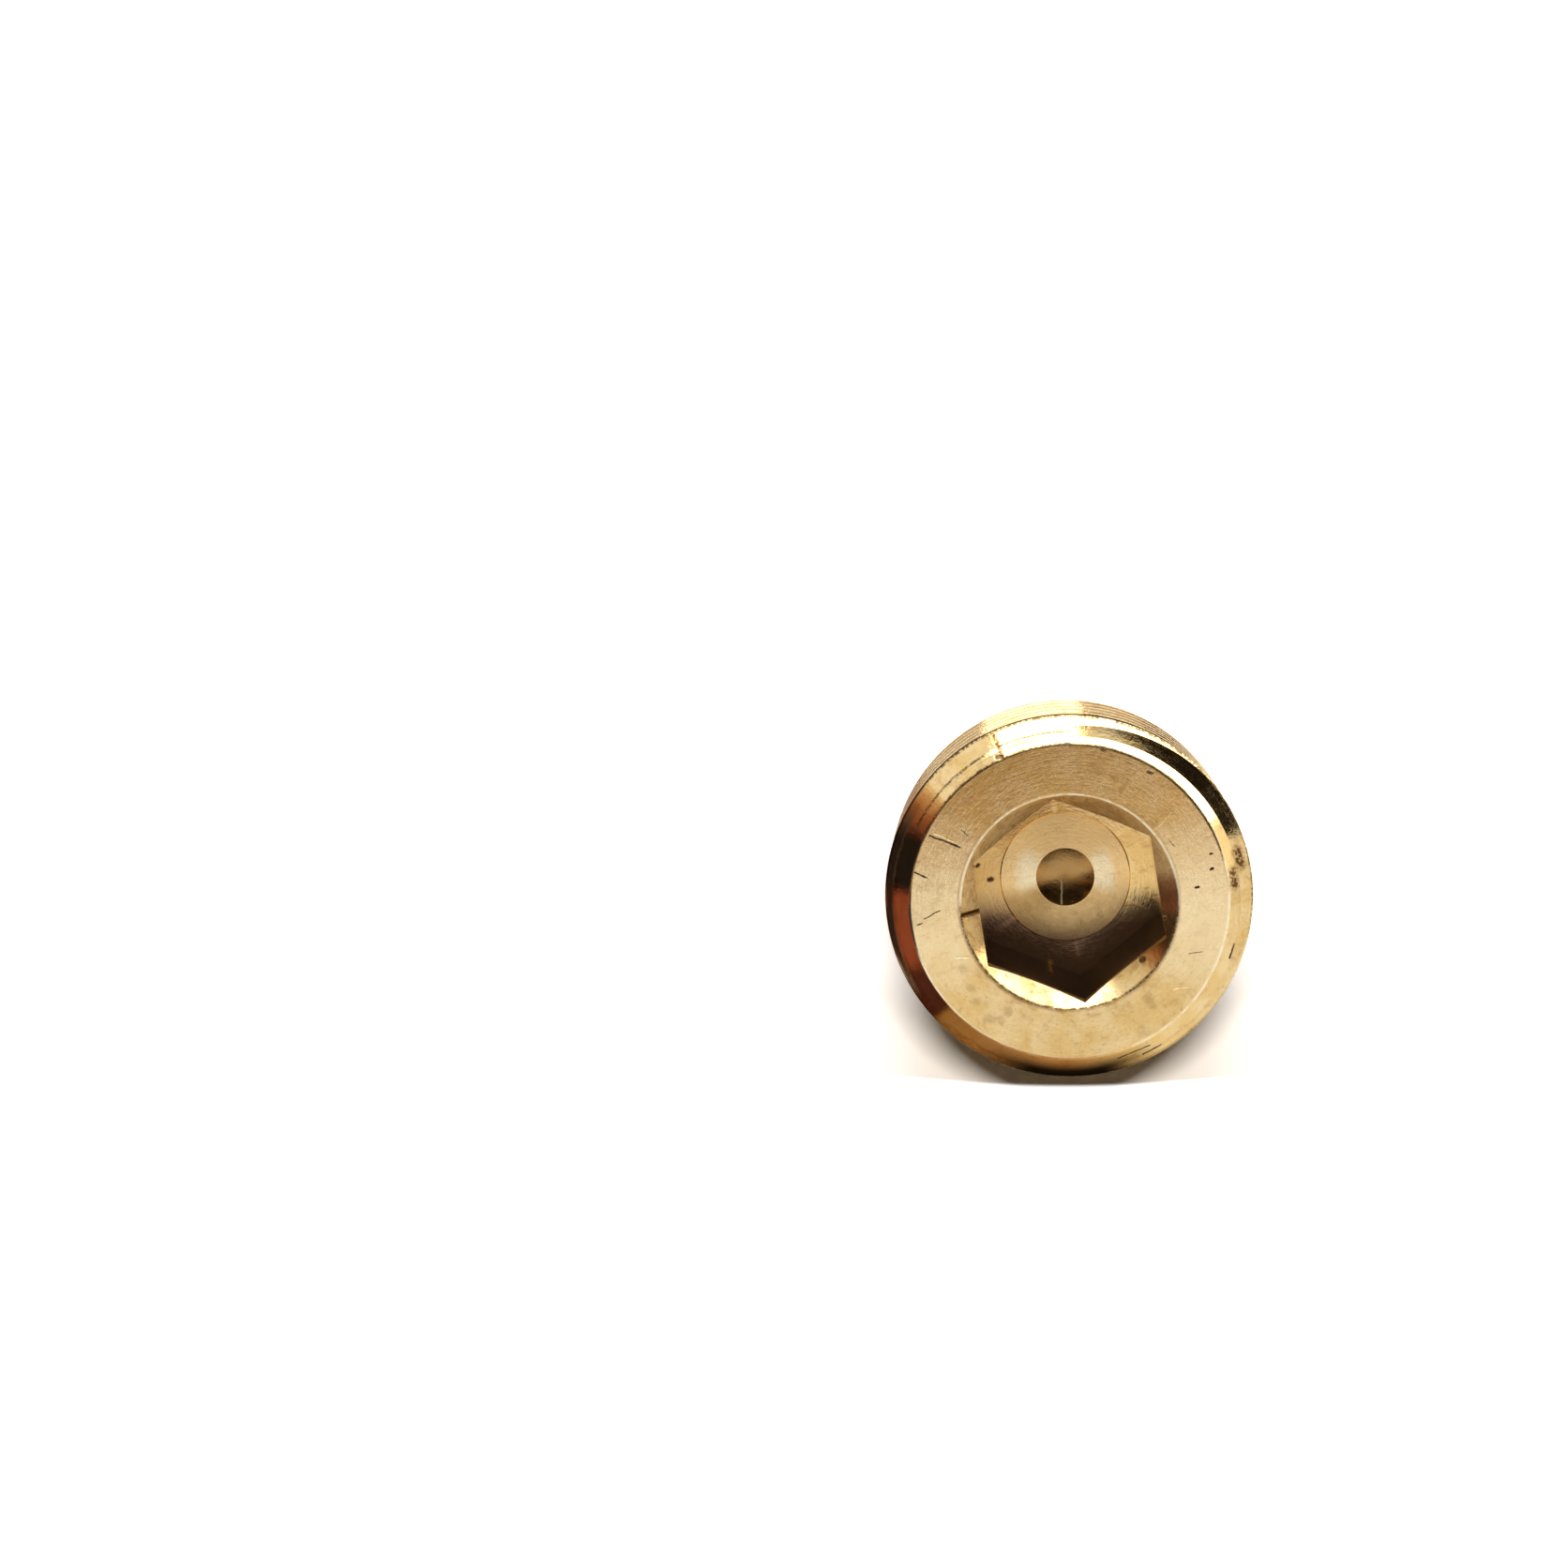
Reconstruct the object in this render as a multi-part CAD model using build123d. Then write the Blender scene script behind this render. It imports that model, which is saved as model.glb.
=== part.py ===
from build123d import *
import os
from math import atan, degrees, radians, tan

# Hexagon socket plug with a taper thread, in millimetres. It stands on its small closed end, +Z comes
# out of the socket, and the origin is the centre of the closed face.

# Turned blank
PLUG_LENGTH = 12.0
GAUGE_DIAMETER = 20.955
GAUGE_HEIGHT = 8.164
DIAMETER_TAPER = 1 / 16
SOCKET_END_CHAMFER = 1.5
CLOSED_END_CHAMFER = 1.4

# Right-hand thread of 55 degree form, 14 turns to the inch
INCH = 25.4
TURNS_PER_INCH = 14
THREAD_ANGLE = 55.0
THREAD_DEPTH = 1.10
ROOT_FLAT = 0.22
GROOVE_END_DEPTH = 0.97
GROOVE_END_TURN = 20.0
CUTTER_CLEARANCE = 0.25

# Hexagon socket
KEY_SIZE = 10.0
KEY_CLEARANCE = 0.3
SOCKET_DEPTH = 9.0
BLUNT_CORNER_RADIUS = 2.4
BLUNT_CORNER_TURN = 120.0
COUNTERSINK_DIAMETER = 12.4
COUNTERSINK_ANGLE = 90.0
PAD_DIAMETER = 7.6
PAD_HEIGHT = 0.2
PAD_EDGE_RADIUS = 0.15
DIMPLE_DIAMETER = 3.4
DIMPLE_ANGLE = 140.0

# Centre mark in the closed end
CENTRE_MARK_DIAMETER = 0.8
CENTRE_MARK_ANGLE = 90.0


def blank_radius(height):
    """Radius of the tapered blank at a height above the closed end."""
    return (GAUGE_DIAMETER + (height - GAUGE_HEIGHT) * DIAMETER_TAPER) / 2


def pointed_recess(diameter, included_angle):
    """Cone with its point down and its mouth in the plane z = 0."""
    depth = diameter / 2 / tan(radians(included_angle / 2))
    return Cone(0, diameter / 2, depth, align=(Align.CENTER, Align.CENTER, Align.MAX))


# Blank: a slightly tapered cylinder with a chamfer on each rim.
blank = Cone(
    blank_radius(0),
    blank_radius(PLUG_LENGTH),
    PLUG_LENGTH,
    align=(Align.CENTER, Align.CENTER, Align.MIN),
)
blank = chamfer(blank.edges().filter_by(GeomType.CIRCLE).sort_by(Axis.Z)[0], CLOSED_END_CHAMFER)
blank = chamfer(blank.edges().filter_by(GeomType.CIRCLE).sort_by(Axis.Z)[-1], SOCKET_END_CHAMFER)

# Thread: a V groove with a flat root follows a tapering helix. It starts below the closed end and runs
# out through the chamfer of the socket end, and it is cut one turn at a time.
pitch = INCH / TURNS_PER_INCH
groove_end_height = PLUG_LENGTH - GROOVE_END_DEPTH
turns_below = int(groove_end_height / pitch) + 1
cutter_height = THREAD_DEPTH + CUTTER_CLEARANCE
cutter_half_width = ROOT_FLAT / 2 + cutter_height * tan(radians(THREAD_ANGLE / 2))


def groove_turn(turn):
    """One turn of the groove, counted upwards to the turn past the socket end."""
    start_height = groove_end_height + turn * pitch
    path = Helix(
        pitch=pitch,
        height=pitch,
        radius=blank_radius(start_height) - THREAD_DEPTH,
        center=(0, 0, start_height),
        cone_angle=degrees(atan(DIAMETER_TAPER / 2)),
    )
    outline = Polyline(
        (0, -ROOT_FLAT / 2),
        (cutter_height, -cutter_half_width),
        (cutter_height, cutter_half_width),
        (0, ROOT_FLAT / 2),
        close=True,
    )
    section = Plane(origin=path @ 0, x_dir=(1, 0, 0), z_dir=path % 0) * make_face(outline)
    return Rot(Z=GROOVE_END_TURN) * sweep(section, path=path, is_frenet=True)


plug = blank - [groove_turn(turn) for turn in range(-turns_below, 1)]

# Socket: a hexagon with corners on the X axis, one of them left blunt by the broach, a countersunk
# mouth and a flat floor.
mouth_plane = Plane.XY.offset(PLUG_LENGTH)
hexagon = RegularPolygon((KEY_SIZE + KEY_CLEARANCE) / 2, side_count=6, major_radius=False)
hexagon = fillet(hexagon.vertices().sort_by(Axis.X)[-1], BLUNT_CORNER_RADIUS)
hexagon = Rot(Z=BLUNT_CORNER_TURN) * hexagon
plug -= extrude(mouth_plane * hexagon, amount=-SOCKET_DEPTH)
plug -= mouth_plane * pointed_recess(COUNTERSINK_DIAMETER, COUNTERSINK_ANGLE)

# A low round pad with a soft edge stands on the socket floor, with a shallow drill dimple in it.
floor_plane = Plane.XY.offset(PLUG_LENGTH - SOCKET_DEPTH)
pad = Cylinder(PAD_DIAMETER / 2, PAD_HEIGHT, align=(Align.CENTER, Align.CENTER, Align.MIN))
pad = fillet(pad.edges().filter_by(GeomType.CIRCLE).sort_by(Axis.Z)[-1], PAD_EDGE_RADIUS)
plug += floor_plane * pad
plug -= floor_plane.offset(PAD_HEIGHT) * pointed_recess(DIMPLE_DIAMETER, DIMPLE_ANGLE)

# Closed end: the small centre mark of the lathe.
plug -= Rot(X=180) * pointed_recess(CENTRE_MARK_DIAMETER, CENTRE_MARK_ANGLE)

os.makedirs("parts", exist_ok=True)
export_step(plug, "parts/plug_body.step")
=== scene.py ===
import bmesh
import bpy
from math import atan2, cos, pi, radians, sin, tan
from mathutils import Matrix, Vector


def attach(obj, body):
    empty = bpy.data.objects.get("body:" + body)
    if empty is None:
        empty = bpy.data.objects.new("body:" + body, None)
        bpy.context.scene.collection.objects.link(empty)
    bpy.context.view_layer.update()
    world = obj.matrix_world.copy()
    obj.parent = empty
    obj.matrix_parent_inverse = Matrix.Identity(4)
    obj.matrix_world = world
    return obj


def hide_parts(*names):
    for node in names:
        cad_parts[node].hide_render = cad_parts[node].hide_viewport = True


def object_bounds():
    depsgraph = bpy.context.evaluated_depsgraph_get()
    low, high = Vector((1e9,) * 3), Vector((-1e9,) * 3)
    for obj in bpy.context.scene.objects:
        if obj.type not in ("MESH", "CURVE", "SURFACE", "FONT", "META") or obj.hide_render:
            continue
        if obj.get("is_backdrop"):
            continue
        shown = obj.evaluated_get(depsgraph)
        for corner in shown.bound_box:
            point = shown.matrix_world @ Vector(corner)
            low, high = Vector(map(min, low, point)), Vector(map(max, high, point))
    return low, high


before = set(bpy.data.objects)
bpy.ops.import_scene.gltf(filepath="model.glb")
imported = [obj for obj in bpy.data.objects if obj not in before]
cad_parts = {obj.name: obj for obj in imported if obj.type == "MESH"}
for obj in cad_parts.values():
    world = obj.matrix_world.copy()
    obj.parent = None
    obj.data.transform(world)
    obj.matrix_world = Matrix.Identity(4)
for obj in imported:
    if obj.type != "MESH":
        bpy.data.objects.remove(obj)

# %% [markdown]
# # A brass hexagon socket plug
#
# This lesson dresses one small turned part: a taper-threaded pipe plug with a hexagon socket.
# The CAD part gives the box and the main sizes. Here the same plug is modelled again with finer
# edges, so that light runs along them, and then it gets its brass, its tool marks and its studio.
# Everything is in metres, because that is Blender's unit, but a maker thinks in millimetres, so
# every size below is written in millimetres and multiplied by MM where Blender wants metres.
# The length is read from the CAD part's own box, so the two models can't drift apart.

MM = 0.001
MERGE_WITHIN = 1e-7

cad_low, cad_high = (list(corner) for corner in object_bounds())
LENGTH = (cad_high[2] - cad_low[2]) / MM
print("plug length", round(LENGTH, 3), "mm")

# %% [markdown]
# ## Two habits that keep operators safe
#
# An operator acts on everything that is selected, and loading the part leaves it selected. So
# each step first clears the selection and makes one object active. Modifiers are applied as soon
# as they are set, so the next step works on a real mesh.

# %% Selecting, editing and applying
def select_only(piece):
    if bpy.context.object and bpy.context.object.mode != "OBJECT":
        bpy.ops.object.mode_set(mode="OBJECT")
    bpy.ops.object.select_all(action="DESELECT")
    piece.select_set(True)
    bpy.context.view_layer.objects.active = piece
    return piece


def edit_all(piece):
    select_only(piece)
    bpy.ops.object.mode_set(mode="EDIT")
    bpy.ops.mesh.select_all(action="SELECT")


def finish_edit():
    """Merges what the last step left double, points the faces outwards and leaves edit mode."""
    bpy.ops.mesh.select_all(action="SELECT")
    bpy.ops.mesh.remove_doubles(threshold=MERGE_WITHIN)
    bpy.ops.mesh.normals_make_consistent(inside=False)
    bpy.ops.object.mode_set(mode="OBJECT")


def modify(piece, kind, **settings):
    """Adds one modifier, sets it by name and applies it at once."""
    modifier = piece.modifiers.new(kind, kind)
    for name, value in settings.items():
        setattr(modifier, name, value)
    select_only(piece)
    bpy.ops.object.modifier_apply(modifier=modifier.name)
    return piece


def size_of(piece):
    mesh = piece.data
    print(piece.name, len(mesh.vertices), "points,", len(mesh.polygons), "faces")


# %% [markdown]
# ## Drawing an outline
#
# A lathe part is one outline turned about an axis. By hand you would merge a plane to a single
# point and extrude that point from corner to corner. The helper does exactly that. A second
# helper swaps a sharp corner for an arc, because no real edge is sharp: even a crisp one is
# rounded by a tenth of a millimetre, and that tenth is what glints.

# %% Outline helpers
def draw_outline(name, points):
    """A chain of edges through points given as (radius, height) in millimetres."""
    bpy.ops.mesh.primitive_plane_add(size=MM, location=(0, 0, 0))
    piece = bpy.context.object
    piece.name = name
    edit_all(piece)
    bpy.ops.mesh.merge(type="CENTER")
    corners = [Vector((radius * MM, 0, height * MM)) for radius, height in points]
    bpy.ops.transform.translate(value=corners[0])
    for here, there in zip(corners, corners[1:]):
        bpy.ops.mesh.extrude_region_move(TRANSFORM_OT_translate={"value": there - here})
    bpy.ops.object.mode_set(mode="OBJECT")
    return piece


def rounded(points, index, radius, steps):
    """The same outline with the corner at one index replaced by an arc."""
    corner = Vector(points[index])
    back = (Vector(points[index - 1]) - corner).normalized()
    ahead = (Vector(points[index + 1]) - corner).normalized()
    half_angle = back.angle(ahead) / 2
    centre = corner + (back + ahead).normalized() * radius / sin(half_angle)
    start = corner + back * radius / tan(half_angle) - centre
    end = corner + ahead * radius / tan(half_angle) - centre
    turn = -start.angle_signed(end)
    arc = []
    for step in range(steps + 1):
        angle = turn * step / steps
        arc.append((
            centre.x + start.x * cos(angle) - start.y * sin(angle),
            centre.y + start.x * sin(angle) + start.y * cos(angle),
        ))
    return points[:index] + arc + points[index + 1:]


def lathe(name, points, steps):
    """A closed solid from an outline that starts and ends on the axis."""
    piece = draw_outline(name, points)
    edit_all(piece)
    bpy.ops.mesh.spin(steps=steps, angle=2 * pi, center=(0, 0, 0), axis=(0, 0, 1))
    finish_edit()
    return piece


def combine(piece, tool, operation):
    """Cuts, joins or overlaps two solids and uses the tool up."""
    modify(piece, "BOOLEAN", operation=operation, object=tool, solver="EXACT")
    bpy.data.objects.remove(tool, do_unlink=True)
    return piece


# %% [markdown]
# ## The thread
#
# A pipe thread is a 55 degree V with a small flat on its crest, and on this plug the crests are
# flat and broad. Real threads are cut by a tool that
# moves one pitch along for each turn, and Blender's Screw modifier does the same: it takes the
# outline of one pitch, turns it and lifts it. The cone comes afterwards, from a Simple Deform
# taper, which is simpler than tilting the outline and keeps every turn joined to the next.

# %% Thread sizes
INCH = 25.4
PITCH = INCH / 14
HALF_ANGLE = radians(55 / 2)
CREST_FLAT = 0.45
THREAD_DEPTH = 1.10
CREST_EDGE = 0.05
ROOT_EDGE = 0.09
GAUGE_RADIUS = 20.955 / 2
GAUGE_HEIGHT = 8.164
SLOPE = 1 / 32
LAST_GROOVE_DEPTH = 0.97
LAST_GROOVE_TURN = radians(20)
TURNS_BELOW = 9
AROUND_STEPS = 240
THREAD_ARC_STEPS = 6


def crest_radius(height):
    return GAUGE_RADIUS + (height - GAUGE_HEIGHT) * SLOPE


print("crest radius", round(crest_radius(0), 3), "to", round(crest_radius(LENGTH), 3), "mm")

# %% One pitch, screwed up into a rod
foot_radius = crest_radius(0)
mouth_half = (PITCH - CREST_FLAT) / 2
root_half = mouth_half - THREAD_DEPTH * tan(HALF_ANGLE)
first_groove = LENGTH - LAST_GROOVE_DEPTH - TURNS_BELOW * PITCH

pitch_outline = [
    (foot_radius, first_groove - PITCH / 2),
    (foot_radius, first_groove - mouth_half),
    (foot_radius - THREAD_DEPTH, first_groove - root_half),
    (foot_radius - THREAD_DEPTH, first_groove + root_half),
    (foot_radius, first_groove + mouth_half),
    (foot_radius, first_groove + PITCH / 2),
]
for corner, radius in ((4, CREST_EDGE), (3, ROOT_EDGE), (2, ROOT_EDGE), (1, CREST_EDGE)):
    pitch_outline = rounded(pitch_outline, corner, radius, THREAD_ARC_STEPS)

plug = draw_outline("plug_body_fine", pitch_outline)
plug.rotation_euler.z = LAST_GROOVE_TURN
select_only(plug)
bpy.ops.object.transform_apply(rotation=True)
modify(
    plug,
    "SCREW",
    screw_offset=PITCH * MM,
    iterations=TURNS_BELOW + 2,
    steps=AROUND_STEPS,
    render_steps=AROUND_STEPS,
    use_merge_vertices=True,
    merge_threshold=MERGE_WITHIN,
)
size_of(plug)

# %% [markdown]
# ## Trimming and tapering the rod
#
# The screwed strip is a long open tube. Two bisects cut it square a little past each end of the
# plug and fill the cuts, which makes it a closed rod. The taper then grows it towards the
# socket end. Simple Deform measures its factor over the whole height of the piece, so the
# slope of the cone is multiplied by that height and divided by the radius at the foot.

# %% Trimming and tapering
TRIM_MARGIN = 0.6

edit_all(plug)
bpy.ops.mesh.remove_doubles(threshold=MERGE_WITHIN)
for height, outward in ((-TRIM_MARGIN, -1), (LENGTH + TRIM_MARGIN, 1)):
    bpy.ops.mesh.select_all(action="SELECT")
    bpy.ops.mesh.bisect(
        plane_co=(0, 0, height * MM),
        plane_no=(0, 0, outward),
        use_fill=True,
        clear_outer=True,
    )
finish_edit()

taper_factor = SLOPE * plug.dimensions.z / MM / foot_radius
modify(plug, "SIMPLE_DEFORM", deform_method="TAPER", deform_axis="Z", factor=taper_factor)
print("rod", [round(side / MM, 2) for side in plug.dimensions], "mm")

# %% [markdown]
# ## Ends, chamfers and countersink
#
# The rest of the outside is turned: two flat ends, a 45 degree chamfer on each rim and a
# countersink that leads the key into the socket. One lathe outline holds them all. Between the
# chamfers it stands clear of the thread, so that keeping only what lies inside both solids
# leaves the thread untouched and cuts it off cleanly at the chamfers, as the lathe tool does.
# The small centre mark in the closed end is drawn in too.

# %% Turned envelope
SOCKET_CHAMFER = 1.5
CLOSED_CHAMFER = 1.4
CLEAR_OF_THREAD = 1.4
COUNTERSINK_RADIUS = 6.2
COUNTERSINK_REACH = 1.4
CENTRE_MARK_RADIUS = 0.4
BURNISHED_EDGE = 0.28
EDGE_STEPS = 5
face_radius = crest_radius(LENGTH) - SOCKET_CHAMFER
closed_radius = crest_radius(0) - CLOSED_CHAMFER

envelope_outline = [
    (0, CENTRE_MARK_RADIUS),
    (CENTRE_MARK_RADIUS, 0),
    (closed_radius, 0),
    (closed_radius + CLOSED_CHAMFER + CLEAR_OF_THREAD, CLOSED_CHAMFER + CLEAR_OF_THREAD),
    (face_radius + SOCKET_CHAMFER + CLEAR_OF_THREAD, LENGTH - SOCKET_CHAMFER - CLEAR_OF_THREAD),
    (face_radius, LENGTH),
    (COUNTERSINK_RADIUS, LENGTH),
    (COUNTERSINK_RADIUS - COUNTERSINK_REACH, LENGTH - COUNTERSINK_REACH),
    (0, LENGTH - COUNTERSINK_REACH),
]
for corner in (6, 5, 2):
    envelope_outline = rounded(envelope_outline, corner, BURNISHED_EDGE, EDGE_STEPS)

envelope = lathe("envelope", envelope_outline, AROUND_STEPS)
plug = combine(plug, envelope, "INTERSECT")
size_of(plug)

# %% [markdown]
# ## The socket
#
# A broach shaves the hexagon out of a drilled hole. Its cutter is modelled as a six-sided bar.
# One of its edges is blunt, so that corner of the socket came out round: a bevel on one upright
# edge of the bar. The bar's end carries the shape of the socket floor in reverse, so a low
# round pad is cut out of it and the point of a drill is added to it.

# %% Broach with one blunt edge
ACROSS_FLATS = 10.3
SOCKET_DEPTH = 9.0
ABOVE_MOUTH = 1.0
BELOW_FLOOR = 0.1
BLUNT_RADIUS = 2.4
BLUNT_TURN = radians(120)
BLUNT_WITHIN = radians(5)
BLUNT_SEGMENTS = 10
HALF_A_SIDE = radians(30)
floor_height = LENGTH - SOCKET_DEPTH

bpy.ops.mesh.primitive_cylinder_add(
    vertices=6,
    radius=ACROSS_FLATS / 2 / cos(HALF_A_SIDE) * MM,
    depth=(SOCKET_DEPTH + ABOVE_MOUTH + BELOW_FLOOR) * MM,
    location=(0, 0, (floor_height - BELOW_FLOOR + LENGTH + ABOVE_MOUTH) / 2 * MM),
    rotation=(0, 0, HALF_A_SIDE),
)
broach = bpy.context.object
broach.name = "broach"
bpy.ops.object.transform_apply(location=True, rotation=True, scale=True)

edit_all(broach)
bpy.ops.mesh.select_all(action="DESELECT")
broach_mesh = bmesh.from_edit_mesh(broach.data)
for edge in broach_mesh.edges:
    low, high = (corner.co for corner in edge.verts)
    upright = abs(low.z - high.z) > MM
    at_turn = abs(atan2(low.y, low.x) - BLUNT_TURN) < BLUNT_WITHIN
    edge.select_set(upright and at_turn)
bmesh.update_edit_mesh(broach.data)
bevel_reach = BLUNT_RADIUS * tan(HALF_A_SIDE) * MM
bpy.ops.mesh.bevel(offset=bevel_reach, segments=BLUNT_SEGMENTS, affect="EDGES")
bpy.ops.object.mode_set(mode="OBJECT")
size_of(broach)

# %% Pad and drill point on the floor
PAD_HEIGHT = 0.03
PAD_FOOT = 3.83
PAD_SHOULDER = 3.77
PAD_BLEND = 0.02
BEYOND_CORNERS = 7.0
DIMPLE_RADIUS = 1.7
DIMPLE_SLOPE = tan(radians(20))
OVERLAP = 0.3
PAD_ARC_STEPS = 4
FLOOR_STEPS = 120
pad_top = floor_height + PAD_HEIGHT

pad_outline = [
    (0, floor_height - OVERLAP),
    (BEYOND_CORNERS, floor_height - OVERLAP),
    (BEYOND_CORNERS, floor_height),
    (PAD_FOOT, floor_height),
    (PAD_SHOULDER, pad_top),
    (0, pad_top),
]
for corner in (4, 3):
    pad_outline = rounded(pad_outline, corner, PAD_BLEND, PAD_ARC_STEPS)
pad = lathe("pad", pad_outline, FLOOR_STEPS)
broach = combine(broach, pad, "DIFFERENCE")

drill_outline = [
    (0, pad_top - DIMPLE_RADIUS * DIMPLE_SLOPE),
    (DIMPLE_RADIUS, pad_top),
    (DIMPLE_RADIUS, pad_top + OVERLAP),
    (0, pad_top + OVERLAP),
]
drill = lathe("drill", drill_outline, FLOOR_STEPS)
broach = combine(broach, drill, "UNION")
plug = combine(plug, broach, "DIFFERENCE")
size_of(plug)

# %% [markdown]
# ## A nick across the countersink
#
# A small V crosses the countersink, perhaps torn by the broach. A bar turned on
# its edge, tipped to the slope of the cone and laid along the radius cuts it. After that the
# faces are shaded smooth wherever they meet at less than twelve degrees, so curves are soft and
# every tooled edge stays crisp. Weighted normals let the broad faces stay truly flat and leave
# all the bending of the light to the narrow rounded edges between them.

# %% Nick and shading
NICK_TURN = radians(-151.5)
NICK_SIDE = 0.24
NICK_LENGTH = 2.0
NICK_RADIUS = 5.5
NICK_HEIGHT = 11.3
ON_EDGE = radians(45)
CRISP_ANGLE = radians(12)

bpy.ops.mesh.primitive_cube_add(size=1, location=(0, 0, 0))
nick = bpy.context.object
nick.scale = (NICK_LENGTH * MM, NICK_SIDE * MM, NICK_SIDE * MM)
nick.rotation_euler = (ON_EDGE, 0, 0)
bpy.ops.object.transform_apply(rotation=True, scale=True)
nick.location = (NICK_RADIUS * MM, 0, NICK_HEIGHT * MM)
nick.rotation_euler = (0, -ON_EDGE, 0)
bpy.ops.object.transform_apply(location=True, rotation=True)
nick.rotation_euler = (0, 0, NICK_TURN)
bpy.ops.object.transform_apply(rotation=True)
plug = combine(plug, nick, "DIFFERENCE")

select_only(plug)
bpy.ops.object.shade_smooth_by_angle(angle=CRISP_ANGLE)
modify(plug, "WEIGHTED_NORMAL", keep_sharp=True)
size_of(plug)
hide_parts("plug_body")
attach(plug, "root")

# %% [markdown]
# ## Small helpers for shader nodes
#
# A procedural finish is a short sum: some noises, some masks and a few mixes. These helpers keep
# each step of that sum on one line. They take output sockets or plain numbers and return an
# output socket, so one can feed the next. A new node goes into the tree of the sockets it is
# given, which keeps the tree's name out of every line.

# %% Helpers for numbers
def tree_of(*values):
    return next(value.id_data for value in values if isinstance(value, bpy.types.NodeSocket))


def feed(value, socket):
    """Links an output to a socket, or writes a plain value into it."""
    if isinstance(value, bpy.types.NodeSocket):
        socket.id_data.links.new(value, socket)
    else:
        socket.default_value = value


def calculate(operation, first, second=0.0):
    node = tree_of(first, second).nodes.new("ShaderNodeMath")
    node.operation = operation
    feed(first, node.inputs[0])
    feed(second, node.inputs[1])
    return node.outputs[0]


def product(*factors):
    """Masks multiplied together: what lies in all of them."""
    result = factors[0]
    for factor in factors[1:]:
        result = calculate("MULTIPLY", result, factor)
    return result


def largest(*masks):
    """Masks laid over each other: what lies in any of them."""
    result = masks[0]
    for mask in masks[1:]:
        result = calculate("MAXIMUM", result, mask)
    return result


def away_from(value, middle):
    return calculate("ABSOLUTE", calculate("SUBTRACT", value, middle))


def added_up(start, shares):
    """A start value plus each field times its share."""
    for field, share in shares:
        start = calculate("ADD", start, product(field, share))
    return start


def fade(value, low, high, to_low=0.0, to_high=1.0):
    """A soft step: below low it gives to_low, above high it gives to_high."""
    node = tree_of(value).nodes.new("ShaderNodeMapRange")
    node.interpolation_type = "SMOOTHSTEP"
    for socket, amount in zip(node.inputs, (value, low, high, to_low, to_high)):
        feed(amount, socket)
    return node.outputs["Result"]


# %% Helpers for places, noises and colours
def vector_step(operation, first, second):
    node = tree_of(first, second).nodes.new("ShaderNodeVectorMath")
    node.operation = operation
    feed(first, node.inputs[0])
    feed(second, node.inputs[1])
    return node.outputs["Value" if operation in ("DOT_PRODUCT", "DISTANCE") else "Vector"]


def scaled(vector, factor):
    node = tree_of(vector).nodes.new("ShaderNodeVectorMath")
    node.operation = "SCALE"
    feed(vector, node.inputs[0])
    feed(factor, node.inputs["Scale"])
    return node.outputs["Vector"]


def object_place(tree):
    return tree.nodes.new("ShaderNodeTexCoord").outputs["Object"]


def measured_along(place, direction):
    return vector_step("DOT_PRODUCT", place, tuple(direction))


def joined(x, y, z):
    node = tree_of(x, y, z).nodes.new("ShaderNodeCombineXYZ")
    for socket, value in zip(node.inputs, (x, y, z)):
        feed(value, socket)
    return node.outputs[0]


def separated(vector):
    node = tree_of(vector).nodes.new("ShaderNodeSeparateXYZ")
    feed(vector, node.inputs[0])
    return node.outputs


def noise(vector, scale, detail, roughness=0.55, distortion=0.0):
    node = tree_of(vector).nodes.new("ShaderNodeTexNoise")
    feed(vector, node.inputs["Vector"])
    feed(scale, node.inputs["Scale"])
    feed(detail, node.inputs["Detail"])
    feed(roughness, node.inputs["Roughness"])
    feed(distortion, node.inputs["Distortion"])
    return node.outputs


def blend(amount, first, second):
    """Mixes two colours; a colour is an output socket or three plain numbers."""
    node = tree_of(amount).nodes.new("ShaderNodeMix")
    node.data_type = "RGBA"
    feed(amount, node.inputs["Factor"])
    for label, colour in (("A", first), ("B", second)):
        is_socket = isinstance(colour, bpy.types.NodeSocket)
        feed(colour if is_socket else (*colour, 1), node.inputs[label])
    return node.outputs["Result"]


# %% Helpers for materials and node groups
def new_material(name):
    material = bpy.data.materials.new(name)
    material.use_nodes = True
    return material, material.node_tree


def new_group(name, inputs, outputs):
    tree = bpy.data.node_groups.new(name, "ShaderNodeTree")
    for label, kind in inputs:
        tree.interface.new_socket(label, in_out="INPUT", socket_type="NodeSocket" + kind)
    for label, kind in outputs:
        tree.interface.new_socket(label, in_out="OUTPUT", socket_type="NodeSocket" + kind)
    return tree, tree.nodes.new("NodeGroupInput").outputs, tree.nodes.new("NodeGroupOutput").inputs


def use_group(group, *values):
    node = tree_of(*values).nodes.new("ShaderNodeGroup")
    node.node_tree = group
    for socket, value in zip(node.inputs, values):
        feed(value, socket)
    return node.outputs


# %% [markdown]
# ## Coordinates a lathe would use
#
# A turned surface changes with its distance from the axis, hardly at all around it. So the
# object coordinates are turned into millimetres, a radius and a height. The fourth output is the
# one to feed a noise for tool marks: it moves slowly around the piece and fast along the radius,
# which stretches the noise into short arcs, and it has no seam. The last output follows the
# thread: it is the distance from the middle of the nearest groove, measured along the axis.

# %% Lathe coordinates as a node group
AROUND_RATE = 6.0
ALONG_RATE = 8.0
SMALLEST_RADIUS = 0.001

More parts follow.
